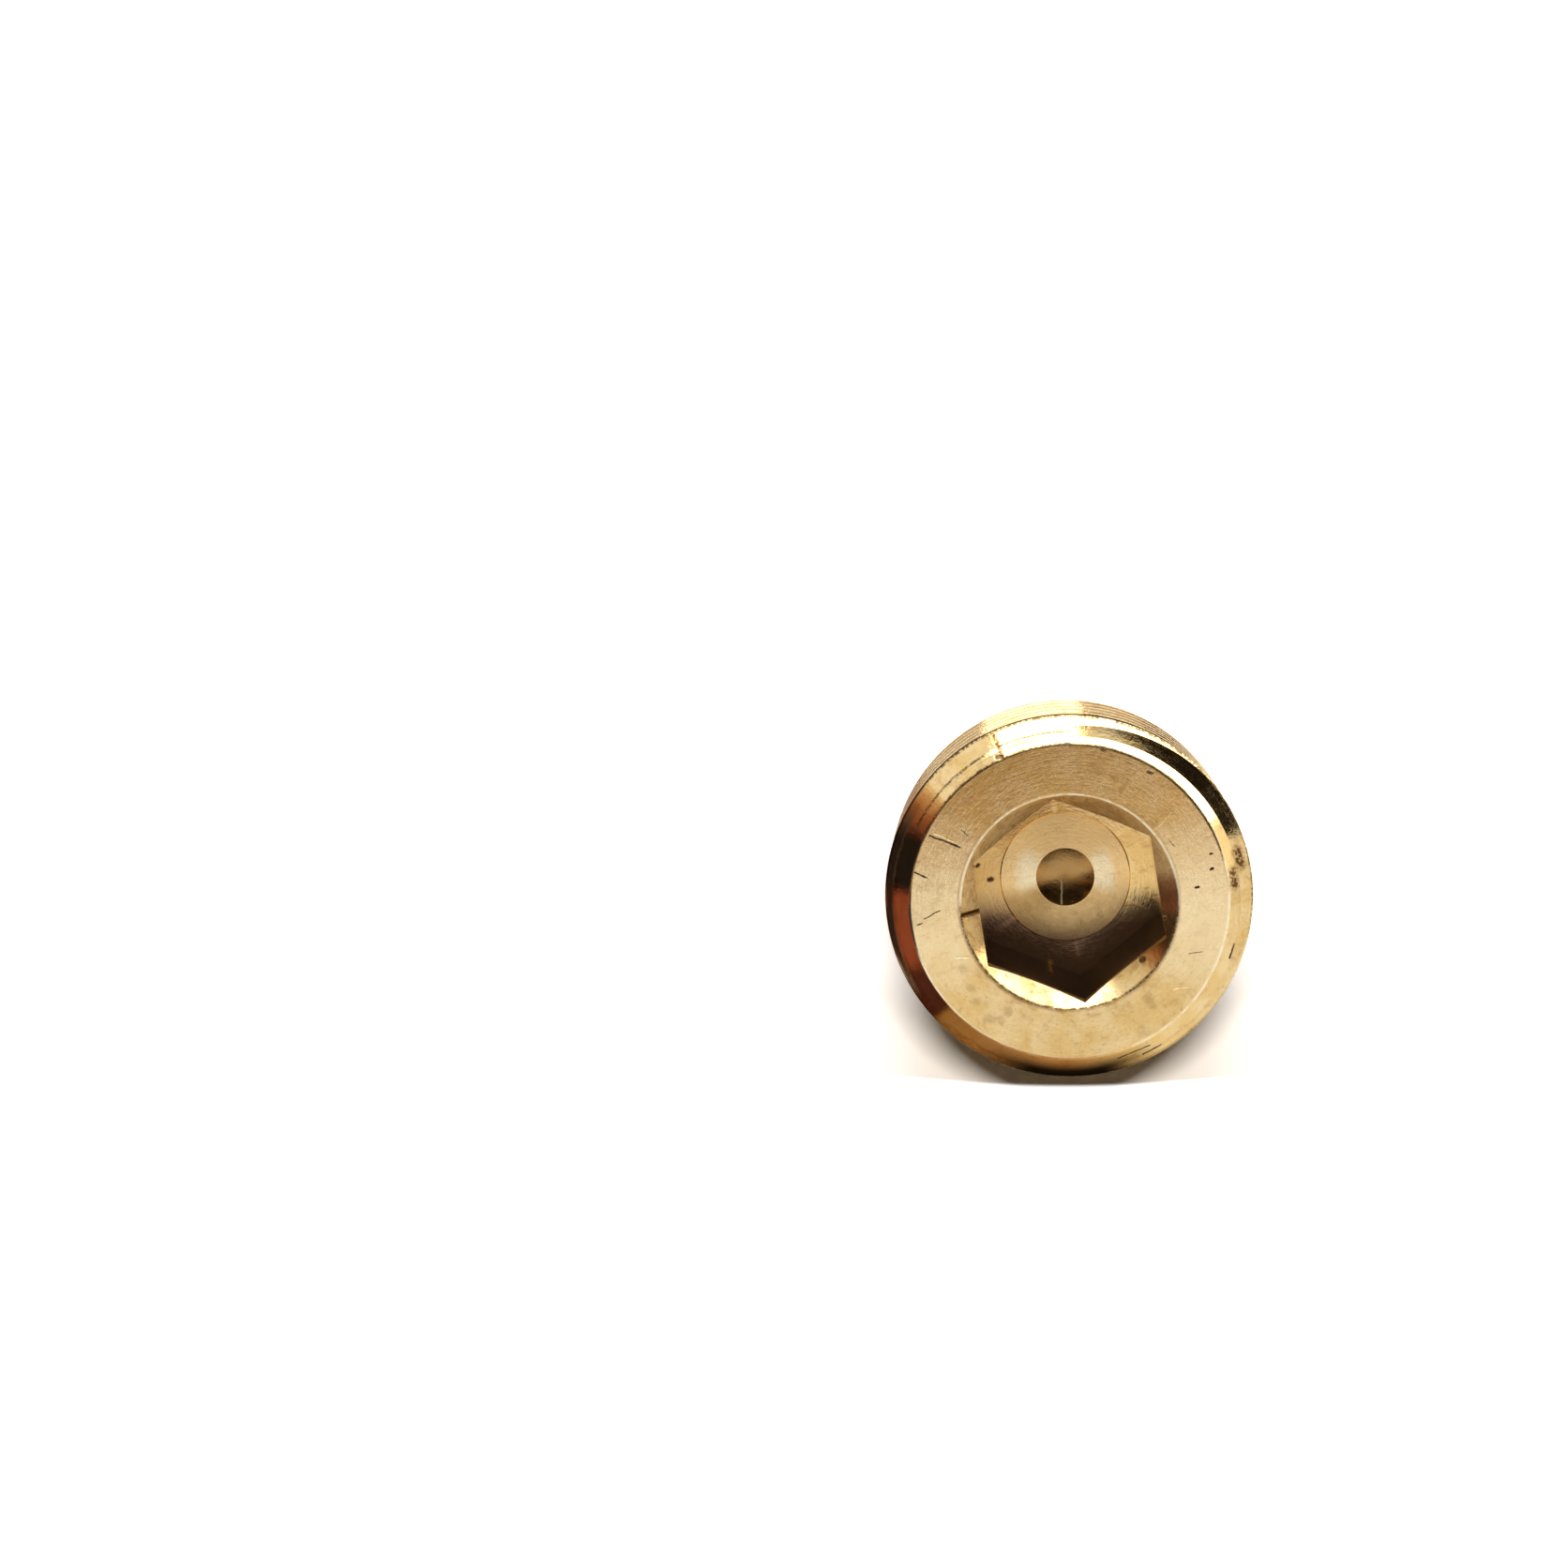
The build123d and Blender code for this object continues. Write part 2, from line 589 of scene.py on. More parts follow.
LATHE_SOCKETS = [
    ("Millimetres", "Vector"),
    ("Radius", "Float"),
    ("Height", "Float"),
    ("Turned", "Vector"),
    ("Thread", "Float"),
]
position_socket = [("Position", "Vector")]
lathe_places, place_in, place_out = new_group("lathe coordinates", position_socket, LATHE_SOCKETS)
millimetres = scaled(place_in["Position"], 1 / MM)
east, north, height_up = separated(millimetres)
squares = [calculate("POWER", side, 2.0) for side in (east, north)]
from_axis = calculate("SQRT", calculate("ADD", *squares))
not_zero = calculate("MAXIMUM", from_axis, SMALLEST_RADIUS)
around_rate = calculate("DIVIDE", AROUND_RATE, not_zero)
turned = joined(
    product(east, around_rate),
    product(north, around_rate),
    product(calculate("ADD", from_axis, height_up), ALONG_RATE),
)

# %% The thread coordinate
angle = calculate("ARCTAN2", north, east)
climb = calculate("SUBTRACT", angle, LAST_GROOVE_TURN)
climb = product(climb, PITCH / (2 * pi))
above_groove = calculate("SUBTRACT", height_up, first_groove - PITCH / 2)
above_groove = calculate("SUBTRACT", above_groove, climb)
in_this_turn = calculate("FLOORED_MODULO", above_groove, PITCH)
from_groove = away_from(in_this_turn, PITCH / 2)

for output, socket in zip((millimetres, from_axis, height_up, turned, from_groove), place_out):
    feed(output, socket)
print("lathe coordinates group:", len(lathe_places.nodes), "nodes")

# %% [markdown]
# ## A mark that can be put anywhere
#
# Scratches, nicks and smudges are all strokes: everything nearer than some width to a line from
# one place to another. One node group measures that distance and gives a mask. A short stroke
# with a soft edge is a smudge, a long thin hard one is a scratch.

# %% The stroke group
TINY_SPAN = 1e-6

stroke, stroke_in, stroke_out = new_group(
    "stroke",
    [
        ("Place", "Vector"),
        ("From", "Vector"),
        ("To", "Vector"),
        ("Width", "Float"),
        ("Hardness", "Float"),
    ],
    [("Mask", "Float")],
)
span = vector_step("SUBTRACT", stroke_in["To"], stroke_in["From"])
reach = vector_step("SUBTRACT", stroke_in["Place"], stroke_in["From"])
span_squared = calculate("MAXIMUM", vector_step("DOT_PRODUCT", span, span), TINY_SPAN)
along = calculate("DIVIDE", vector_step("DOT_PRODUCT", reach, span), span_squared)
along = calculate("MINIMUM", calculate("MAXIMUM", along, 0.0), 1.0)
nearest = vector_step("ADD", stroke_in["From"], scaled(span, along))
gap = vector_step("DISTANCE", stroke_in["Place"], nearest)
core = product(stroke_in["Width"], stroke_in["Hardness"])
feed(fade(gap, core, stroke_in["Width"], 1.0, 0.0), stroke_out["Mask"])
print("stroke group:", len(stroke.nodes), "nodes")


# %% Strokes by the list
def marks(place, zone, strokes, hardness):
    """One mask that holds every stroke of a list: from, to and width in millimetres."""
    masks = [
        use_group(stroke, place, (*start, 0), (*end, 0), width, hardness)[0]
        for start, end, width in strokes
    ]
    return product(largest(*masks), zone)


def ring_strokes(radius, from_degrees, to_degrees, width, step=6):
    """Short strokes end to end along a circle; degrees turn from the part's own X axis."""
    strokes = []
    for turn in range(from_degrees, to_degrees, step):
        ends = [
            (radius * cos(radians(place)), radius * sin(radians(place)))
            for place in (turn, turn + step)
        ]
        strokes.append((*ends, width))
    return strokes


# %% [markdown]
# ## Marks on this plug
#
# Small brass parts are tumbled against each other in boxes, so each one carries its own nicks.
# Those below are placed where this plug has them, each as from, to and width. Dark ones look
# dirty, bright ones only catch light, and smudges are faint and soft. A rim nick breaks an edge.
# The chamfer has a few brown stains and a fine line where its groove runs out. In the socket are
# two specks on the floor, a short streak on the wall and a line in the dimple that is painted pale
# as a highlight. Their places are known and their causes aren't, so the names say only what they
# look like.

# %% Marks on the face, in millimetres
DARK_SCRATCHES = [
    ((-8.81, 0.74), (-6.98, 0.74), 0.07),
    ((-8.85, -1.54), (-8.09, -1.59), 0.055),
    ((-7.23, 1.69), (-6.75, 1.47), 0.04),
    ((-7.39, -3.88), (-6.71, -3.09), 0.045),
    ((-7.60, -4.36), (-7.39, -4.17), 0.05),
    ((3.97, 5.34), (4.42, 5.13), 0.035),
    ((7.44, -0.33), (8.10, 0.03), 0.04),
    ((6.36, 3.36), (6.52, 3.45), 0.09),
    ((6.80, 4.68), (6.88, 4.75), 0.10),
    ((6.45, 5.47), (6.52, 5.53), 0.09),
]
BRIGHT_SCRATCHES = [
    ((3.57, 6.80), (2.98, 5.54), 0.05),
    ((-7.19, 1.80), (-6.71, 1.58), 0.05),
    ((-4.90, -5.30), (-4.20, -5.05), 0.035),
    ((-8.60, 0.95), (-7.40, 0.90), 0.03),
    ((7.30, -2.60), (8.20, -2.10), 0.03),
]
RIM_NICKS = [
    ((5.10, -1.80), (5.18, -1.70), 0.20),
    ((5.40, 0.95), (5.48, 1.03), 0.14),
    ((1.45, 8.62), (1.65, 8.62), 0.13),
    ((-1.50, 8.88), (-1.30, 8.88), 0.12),
    ((-3.43, 8.40), (-3.23, 8.44), 0.12),
    ((-6.85, 6.25), (-6.60, 6.40), 0.16),
    ((-4.45, -2.42), (-5.40, -2.93), 0.16),
]
SMUDGES = [
    ((-4.30, -5.76), (-4.22, -5.76), 0.45),
    ((-3.50, -6.67), (-3.40, -6.67), 0.40),
    ((-1.90, -7.92), (-1.76, -7.92), 0.42),
    ((-1.00, -7.23), (-0.90, -7.23), 0.35),
    ((-2.94, -7.27), (-2.82, -7.27), 0.35),
    ((6.10, -3.60), (6.60, -3.90), 0.40),
]
print("marks on the face:", len(DARK_SCRATCHES + BRIGHT_SCRATCHES + SMUDGES))

# %% Marks on the chamfer and in the socket
CHAMFER_MARKS = [
    ((7.19, -6.87), (7.98, -5.95), 0.06),
    ((5.90, -7.54), (7.33, -6.15), 0.045),
    ((9.75, 0.17), (9.70, 1.02), 0.06),
]
CHAMFER_STAINS = [
    ((8.05, 4.95), (8.45, 4.25), 0.46),
    ((7.95, 6.00), (8.45, 5.35), 0.50),
    ((-6.60, 6.50), (-7.45, 7.35), 0.24),
]
GROOVE_LINE = ring_strokes(9.66, 141, 177, 0.10) + ring_strokes(9.72, 111, 135, 0.06)
DIMPLE_HIGHLIGHT = [((-0.08, -0.35), (0.38, -1.57), 0.07)]
WALL_STREAK = [((1.00, -5.10), (1.12, -5.45), 0.26)]
FLOOR_MARKS = [
    ((-4.10, -1.76), (-4.00, -1.68), 0.22),
    ((-5.00, -1.15), (-5.06, -1.28), 0.16),
]
print("marks on the chamfer and in the socket:", len(CHAMFER_MARKS + CHAMFER_STAINS + FLOOR_MARKS))

# %% [markdown]
# ## The brass finish: colours
#
# Turned brass is a bright yellow metal, but a polished piece shows it in many tints. Some of these
# are its own, such as tarnish and dirt. Others are painted light: the olive floor and the brown
# bore stand in for what a real wall mirrors, the pale tints are painted highlights, and the dark
# tints of the dimple, the thread and the edges are painted shade. Side by side they are easy to
# compare and change.

# %% Tints
PALE_BRASS = (0.87, 0.655, 0.335)
DEEP_BRASS = (0.80, 0.555, 0.225)
# A pale tint for painted highlights on the rims and on the line in the dimple.
RIM_HIGHLIGHT_BRASS = (1.0, 0.90, 0.66)
# A pale tint for painted highlights on the face and on the pad.
HIGHLIGHT_BRASS = (1.0, 0.86, 0.57)
# A richer tint over the whole pad, a painted reflection of the brass around it.
PAD_BRASS = (0.95, 0.66, 0.30)
# Painted shade for all but the lowest part of the countersink.
CONE_SHADE_BRASS = (0.76, 0.48, 0.19)
# A painted reflection at the left of the floor and of the pad.
OLIVE_BRASS = (0.58, 0.36, 0.13)
# Painted shade in the dimple.
DIMPLE_SHADE = (0.42, 0.25, 0.09)
# Tarnish in blotches, specks, smudges and a streak on the wall, and also painted shade on the face,
# the countersink and the chamfer's outer band.
TARNISH_AND_SHADE = (0.50, 0.27, 0.085)
# Painted shade in the thread roots and along the crest edges.
VALLEY_SHADE = (0.22, 0.115, 0.035)
# Painted shade on the lower side of the bore.
BORE_BROWN = (0.125, 0.065, 0.042)
STAIN = (0.14, 0.06, 0.02)
# Dark dirt in scratches, nicks and specks, and painted shade along the rims and the left outer
# edge.
DIRT_AND_SHADE = (0.085, 0.045, 0.022)
# Painted shade for the dark line on the flank under the chamfer.
GROOVE_SHADE = (0.022, 0.012, 0.008)

# %% [markdown]
# ## The brass finish: noises
#
# The finish is one node group, so a copy of it can be used on any turned part. It starts with
# noises of different sizes: a slow mottle from handling, blotches of tarnish, specks, a grain
# finer than all of them, and two that follow the lathe coordinate and so turn into the short
# arcs of the facing tool. A weak wobble bends the straight strokes of the marks.

# %% Noises of the finish
WOBBLE = 0.14

finish, finish_in, finish_out = new_group(
    "turned brass finish",
    LATHE_SOCKETS,
    [("Colour", "Color"), ("Roughness", "Float"), ("Bump", "Float"), ("Metallic", "Float")],
)
spot, radius, height, turned_spot, flank = (finish_in[label] for label, kind in LATHE_SOCKETS)
wobble = noise(spot, 2.2, 3)["Color"]
wobble = vector_step("SUBTRACT", wobble, (0.5, 0.5, 0.5))
wavy_spot = vector_step("ADD", spot, scaled(wobble, WOBBLE))
flat_place = vector_step("MULTIPLY", wavy_spot, (1, 1, 0))

mottle = noise(spot, 0.55, 4, 0.55, 0.4)["Fac"]
blotch = noise(spot, 1.3, 5, 0.62, 0.5)["Fac"]
specks = noise(spot, 5.5, 3, 0.6)["Fac"]
grain = noise(spot, 14.0, 3, 0.6)["Fac"]
arcs = noise(turned_spot, 0.9, 5, 0.62)["Fac"]
fine_arcs = noise(turned_spot, 3.2, 3, 0.6)["Fac"]
print("noises:", len([node for node in finish.nodes if node.type == "TEX_NOISE"]))

# %% [markdown]
# ## The brass finish: zones
#
# Each surface of the plug gets its own mask, made from the radius and the height alone: the face,
# the countersink, the floor with its pad and dimple, the chamfer and the thread. The roots of the
# thread and the edges of its crests get painted shade, a browner tone which makes the grooves read.

# %% Zones by radius and height
FACE_EDGE = (LENGTH - 0.06, LENGTH - 0.01)
CONE_EDGE = (LENGTH - 1.55, LENGTH - 1.3)
BORE_EDGE = (LENGTH - 1.7, LENGTH - 1.4)
CHAMFER_EDGE = (LENGTH - 1.8, LENGTH - 1.6)
THREAD_EDGE = (LENGTH - 1.9, LENGTH - 1.7)
FLOOR_EDGE = (floor_height + 0.3, floor_height + 0.4)
MOUTH_EDGE = (COUNTERSINK_RADIUS + 0.15, COUNTERSINK_RADIUS + 0.22)
BORE_SIDE = (COUNTERSINK_RADIUS, COUNTERSINK_RADIUS + 0.1)
DIMPLE_EDGE = (DIMPLE_RADIUS, DIMPLE_RADIUS + 0.05)
RIM_SIDE = (face_radius - 0.4, face_radius - 0.3)

on_face = fade(height, *FACE_EDGE)
near_end = fade(height, *CHAMFER_EDGE)
outside_rim = fade(radius, *RIM_SIDE)
on_chamfer = product(near_end, outside_rim)
on_thread = product(outside_rim, fade(height, *THREAD_EDGE, 1.0, 0.0))
inside_mouth = fade(radius, *MOUTH_EDGE, 1.0, 0.0)
on_countersink = product(inside_mouth, fade(height, *CONE_EDGE))
inside_bore = fade(radius, *BORE_SIDE, 1.0, 0.0)
in_bore = product(inside_bore, fade(height, *BORE_EDGE, 1.0, 0.0))
on_floor = product(inside_bore, fade(height, *FLOOR_EDGE, 1.0, 0.0))
in_dimple = product(on_floor, fade(radius, *DIMPLE_EDGE, 1.0, 0.0))
on_pad = product(on_floor, fade(radius, PAD_SHOULDER, PAD_FOOT, 1.0, 0.0))
on_pad = product(on_pad, fade(radius, *DIMPLE_EDGE))

# %% Painted shade in the roots and at the crest edges
ROOT_REACH = (0.15, 0.55)
CREST_EDGE_REACH = (0.03, 0.11)
VALLEY_SHARE = 0.55

# Painted shade in the thread roots and along the crest edges.
in_root = fade(flank, *ROOT_REACH, VALLEY_SHARE, 0.0)
from_crest_edge = away_from(flank, mouth_half)
at_crest_edge = fade(from_crest_edge, *CREST_EDGE_REACH, VALLEY_SHARE, 0.0)
in_valley = product(largest(in_root, at_crest_edge), on_thread)
print("nodes after the zones:", len(finish.nodes))

# %% [markdown]
# ## The brass finish: painted tones
#
# Polished brass shows its surroundings, so its tones differ from side to side. Two numbers tell
# where a spot lies, each from minus one to one: how far it leans to the upper side and how far it
# lies across to the right. From them come painted highlights on the sides of the face and in two
# fans on the pad, a painted olive reflection at the left of the floor, and painted shade on the
# lower side of the bore; one mask thins the painted shade at the right.
#
# On the real part most of these are probably reflections and shade, not stains. Painting them is
# a shortcut: a few cards then give the right tones in the main view, but the tones are fixed to
# the part and don't move when the light or the view does. The truer way is to build more of the
# room that the brass mirrors, and then the painted tones can go.

# %% Lean and across
UPPER_TURN = radians(110.9)
upper_side = (cos(UPPER_TURN), sin(UPPER_TURN), 0)
right_side = (sin(UPPER_TURN), -cos(UPPER_TURN), 0)
safe_radius = calculate("MAXIMUM", radius, SMALLEST_RADIUS)
upward = measured_along(spot, upper_side)
lean = calculate("DIVIDE", upward, safe_radius)
rightward = measured_along(spot, right_side)
across = calculate("DIVIDE", rightward, safe_radius)
print("upper side", [round(side, 2) for side in upper_side])

# %% Sides of the face, the floor and the pad
# Painted highlights at both sides of the face.
pale_right = fade(across, 0.7, 1.0, 0.0, 0.5)
pale_left = fade(across, -1.0, -0.7, 0.4, 0.0)
pale_sides = product(on_face, largest(pale_right, pale_left))
# Less painted shade towards the right.
less_at_right = fade(across, 0.2, 0.8, 1.0, 0.3)
# Painted olive reflection at the left of the floor and at the lower left of the pad.
floor_left = product(on_floor, fade(across, -1.0, 0.3, 0.75, 0.0))
pad_low_left = product(
    on_pad,
    fade(across, -0.8, -0.2, 0.8, 0.0),
    fade(lean, -0.45, -0.1, 1.0, 0.0),
)
# Painted highlights in two fans on the pad.
in_fans = product(
    on_pad,
    fade(calculate("ABSOLUTE", across), 0.66, 0.94),
    fade(radius, 2.5, 3.2, 0.95, 0.1),
    fade(lean, -0.5, -0.1),
)

# %% Dark lower side of the bore
BORE_FADE = (-2.9, -0.5)
BORE_SHARE = 0.92
PAD_STANDS_CLEAR = 1.3

# Painted shade on the lower side of the bore, kept off the pad.
bore_line = added_up(upward, [(on_pad, PAD_STANDS_CLEAR)])
dark_bore = product(in_bore, fade(bore_line, *BORE_FADE, BORE_SHARE, 0.0))
print("nodes after the sides:", len(finish.nodes))

# %% [markdown]
# ## The brass finish: marks and edges
#
# The lists of strokes become masks here, each kept to its own zone. Each rim gets a painted
# highlight along one part and a fine dark line of painted shade along the rest. A dark line of
# painted shade runs along the flank of the ridge under the chamfer, where the groove looks black,
# and the outer edge at the left and the lower outer band of the chamfer are painted darker as
# shade.

# %% Marks as masks
STREAK_ZONE = (floor_height + 2.2, floor_height + 3.6)

dark_mask = marks(flat_place, on_face, DARK_SCRATCHES, 0.35)
bright_mask = marks(flat_place, on_face, BRIGHT_SCRATCHES, 0.3)
smudge_mask = marks(flat_place, on_face, SMUDGES, 0.05)
nick_mask = marks(flat_place, near_end, RIM_NICKS, 0.4)
chamfer_mask = marks(flat_place, on_chamfer, CHAMFER_MARKS, 0.5)
line_mask = marks(flat_place, on_chamfer, GROOVE_LINE, 0.3)
line_mask = product(line_mask, fade(specks, 0.40, 0.55, 0.35, 1.0))
stain_mask = marks(flat_place, on_chamfer, CHAMFER_STAINS, 0.0)
stain_mask = product(stain_mask, fade(specks, 0.38, 0.58, 0.5, 1.3))
floor_mask = marks(flat_place, on_floor, FLOOR_MARKS, 0.3)
# The line in the dimple is a painted highlight.
dimple_highlight_mask = marks(flat_place, on_floor, DIMPLE_HIGHLIGHT, 0.2)
streak_mask = marks(flat_place, fade(height, *STREAK_ZONE, 1.0, 0.0), WALL_STREAK, 0.1)
print("nodes after the marks:", len(finish.nodes))

# %% Painted highlights and shade on the rims
RIM_HALF_WIDTH = 0.13
edge_radius = face_radius + SOCKET_CHAMFER - 0.08
# Radius of the rim, the lean where its painted highlight ends, and how much highlight it gets below
# and above that.
RIMS = [
    (face_radius, (0.36, 0.48), 1.0, 0.0),
    (COUNTERSINK_RADIUS, (-0.10, 0.02), 0.0, 1.0),
    (edge_radius, (-0.3, -0.1), 1.0, 0.0),
]
# A painted highlight on one part of each rim and painted shade on the rest, broken up by blotches
# and specks.
rim_highlight_mask = 0.0
rim_shade_mask = 0.0
for rim_radius, wear_ends, below, above in RIMS:
    rim = fade(away_from(radius, rim_radius), 0.0, RIM_HALF_WIDTH, 1.0, 0.0)
    rim = product(rim, near_end)
    highlight_side = fade(lean, *wear_ends, below, above)
    shade_side = calculate("SUBTRACT", 1.0, highlight_side)
    rim_highlight_mask = largest(rim_highlight_mask, product(rim, highlight_side))
    rim_shade_mask = largest(rim_shade_mask, product(rim, shade_side))
rim_highlight_mask = product(rim_highlight_mask, fade(blotch, 0.40, 0.56, 0.2, 0.8))
rim_shade_mask = product(rim_shade_mask, fade(specks, 0.42, 0.56, 0.2, 1.0))
print("rims with painted highlight and shade:", len(RIMS))

# %% Painted shade at the outer edge
SECOND_RIDGE = LENGTH - 2.95
RIDGE_REACH = (0.38, 0.5)
LINE_STARTS = (0.46, 0.52)
LINE_ENDS = (0.64, 0.67)
SHADE_BAND_STARTS = (9.75, 9.95)
LEFT_SHADE_STARTS = (9.95, 10.15)

# Painted shade: a dark line on the flank of the ridge under the chamfer, on the upper side.
groove_shade_line = product(
    outside_rim,
    fade(away_from(height, SECOND_RIDGE), *RIDGE_REACH, 1.0, 0.0),
    fade(flank, *LINE_STARTS),
    fade(flank, *LINE_ENDS, 1.0, 0.0),
    fade(lean, 0.2, 0.5),
)
# Painted shade along the outer edge at the far left.
left_edge_shade = product(near_end, fade(radius, *LEFT_SHADE_STARTS), fade(across, -0.95, -0.80, 1.0, 0.0))
# Painted shade on the outer band of the chamfer, towards the lower side.
lower_chamfer_shade = product(
    on_chamfer,
    fade(radius, *SHADE_BAND_STARTS),
    fade(blotch, 0.35, 0.6, 0.15, 0.7),
    fade(lean, 0.15, 0.5, 1.0, 0.0),
    less_at_right,
)
# Dirt in the marks, together with the painted shade at the rims and the left outer edge.
dirt_and_shade_mask = largest(
    dark_mask,
    chamfer_mask,
    floor_mask,
    left_edge_shade,
    product(line_mask, 0.8),
    product(rim_shade_mask, 0.9),
    product(nick_mask, 0.8),
)
print("nodes after the edges:", len(finish.nodes))

# %% [markdown]
# ## The brass finish: colour in layers
#
# Colour goes on as a painter would lay it: the bare metal first, then thin tarnish, the painted
# highlights, reflections and shade of each surface, stains, and last the painted highlights on the
# rims and the black dirt with its painted shade. Each layer is a mask and a tint, so the whole
# build-up is one list that is read from the bottom coat to the top one.

# %% Layers of colour
# Painted shade over the countersink except its lowest part, weaker at the right.
shaded_cone = product(
    on_countersink,
    fade(lean, -0.78, -0.5),
    fade(arcs, 0.35, 0.6, 1.0, 0.6),
    less_at_right,
)
# Streaks of tarnish on the countersink mixed with painted shade, weaker at the right.
streaks = product(
    on_countersink,
    fade(blotch, 0.46, 0.62, 0.0, 0.6),
    fade(grain, 0.3, 0.6, 0.5, 1.0),
    less_at_right,
)
# Painted shade and painted glints on the upper half of the face.
upper_face_sheen = product(on_face, fade(lean, -0.4, 0.6, 0.12, 0.5))
LAYERS = [
    (fade(blotch, 0.50, 0.74, 0.0, 0.5), TARNISH_AND_SHADE),
    (fade(specks, 0.60, 0.72, 0.0, 0.45), TARNISH_AND_SHADE),
    (product(smudge_mask, 0.22), TARNISH_AND_SHADE),
    (shaded_cone, CONE_SHADE_BRASS),
    (streaks, TARNISH_AND_SHADE),
    (product(upper_face_sheen, fade(fine_arcs, 0.44, 0.62)), TARNISH_AND_SHADE),
    (product(upper_face_sheen, fade(grain, 0.50, 0.64)), TARNISH_AND_SHADE),
    (product(upper_face_sheen, fade(specks, 0.32, 0.44, 0.8, 0.0)), HIGHLIGHT_BRASS),
    (pale_sides, HIGHLIGHT_BRASS),
    (floor_left, OLIVE_BRASS),
    (in_dimple, DIMPLE_SHADE),
    (on_pad, PAD_BRASS),
    (pad_low_left, OLIVE_BRASS),
    (in_fans, HIGHLIGHT_BRASS),
    (dark_bore, BORE_BROWN),
    (lower_chamfer_shade, TARNISH_AND_SHADE),
    (in_valley, VALLEY_SHADE),
    (stain_mask, STAIN),
    (largest(rim_highlight_mask, dimple_highlight_mask), RIM_HIGHLIGHT_BRASS),
    (product(streak_mask, 0.7), TARNISH_AND_SHADE),
    (dirt_and_shade_mask, DIRT_AND_SHADE),
    (groove_shade_line, GROOVE_SHADE),
]
colour = blend(fade(mottle, 0.35, 0.66), DEEP_BRASS, PALE_BRASS)
for mask, tint in LAYERS:
    colour = blend(mask, colour, tint)
feed(colour, finish_out["Colour"])
print("layers of colour:", len(LAYERS))

# %% [markdown]
# ## The brass finish: roughness, relief and metal
#
# Roughness decides how sharp the mirror image is. The chamfers are nearly polished, the face is
# satin from the facing tool, the countersink and the pad are duller, and dirt, together with the
# painted shade that shares its mask, is dullest of all.
# Relief is the same noises again with small shares, and scratches cut below the surface. The
# dark bore is a little less metallic, so that the lamp keeps it off pure black.

# %% Roughness, relief and metal
CHAMFER_ROUGHNESS = 0.075
FACE_ROUGHNESS = 0.16
LEAST_ROUGHNESS = 0.05
BORE_METAL = 0.88

rough = added_up(
    fade(on_face, 0.0, 1.0, CHAMFER_ROUGHNESS, FACE_ROUGHNESS),
    [(on_countersink, 0.16), (on_floor, -0.05), (on_pad, 0.22), (in_dimple, 0.12)],
)
for field, share in ((blotch, 0.12), (arcs, 0.14), (specks, 0.06)):
    rough = added_up(rough, [(calculate("SUBTRACT", field, 0.5), share)])
rough = added_up(rough, [(smudge_mask, 0.10), (dirt_and_shade_mask, 0.25), (bright_mask, 0.12)])
rough = added_up(rough, [(dimple_highlight_mask, 0.5), (streak_mask, 0.3)])
feed(calculate("MAXIMUM", rough, LEAST_ROUGHNESS), finish_out["Roughness"])

surface_relief = [(fine_arcs, 0.35), (grain, 0.25), (specks, 0.5), (blotch, 1.5)]
cut_relief = [(dark_mask, -2.5), (bright_mask, -3.0), (nick_mask, -3.0), (chamfer_mask, -0.6)]
feed(added_up(arcs, surface_relief + cut_relief), finish_out["Bump"])
feed(fade(dark_bore, 0.0, BORE_SHARE, 1.0, BORE_METAL), finish_out["Metallic"])
print("brass finish group:", len(finish.nodes), "nodes")

# %% [markdown]
# ## The brass material
#
# A metal value near one makes the base colour the colour of every reflection. A turned surface
# is rougher across its tool marks than along them, so its highlights run out along the radius;
# that is anisotropy, measured from a tangent that runs around the axis and turned a quarter
# round.

# %% Brass
ANISOTROPY = 0.9
QUARTER_TURN = 0.25
BUMP_DEPTH = 0.006

brass, metal = new_material("brass")
surface = metal.nodes["Principled BSDF"]
surface.inputs["Anisotropic"].default_value = ANISOTROPY
surface.inputs["Anisotropic Rotation"].default_value = QUARTER_TURN
around_axis = metal.nodes.new("ShaderNodeTangent")
around_axis.direction_type = "RADIAL"
around_axis.axis = "Z"
feed(around_axis.outputs[0], surface.inputs["Tangent"])
coordinates = use_group(lathe_places, object_place(metal))
look = use_group(finish, *coordinates)
feed(look["Colour"], surface.inputs["Base Color"])
feed(look["Roughness"], surface.inputs["Roughness"])
feed(look["Metallic"], surface.inputs["Metallic"])
bump = metal.nodes.new("ShaderNodeBump")
bump.inputs["Distance"].default_value = BUMP_DEPTH * MM
feed(look["Bump"], bump.inputs["Height"])
feed(bump.outputs[0], surface.inputs["Normal"])
plug.data.materials.clear()
plug.data.materials.append(brass)
print("brass on", plug.name)

# %% [markdown]
# ## Camera
#
# A small part looks right from about thirty centimetres through a long lens: near enough to see
# into the socket, far enough that the hexagon isn't stretched. The camera's axes are built from
# where it stands, where it looks and which way is up in the picture.

# %% Camera
CAMERA_PLACE = Vector((-23.688, 40.883, 288.544)) * MM
CAMERA_AIM = Vector((-17.583, 0.556, 12.0)) * MM
PICTURE_UP = Vector((-0.35367, 0.92444, -0.14262))
LENS = 112.9
SENSOR = 36
CLIP_START = 0.01

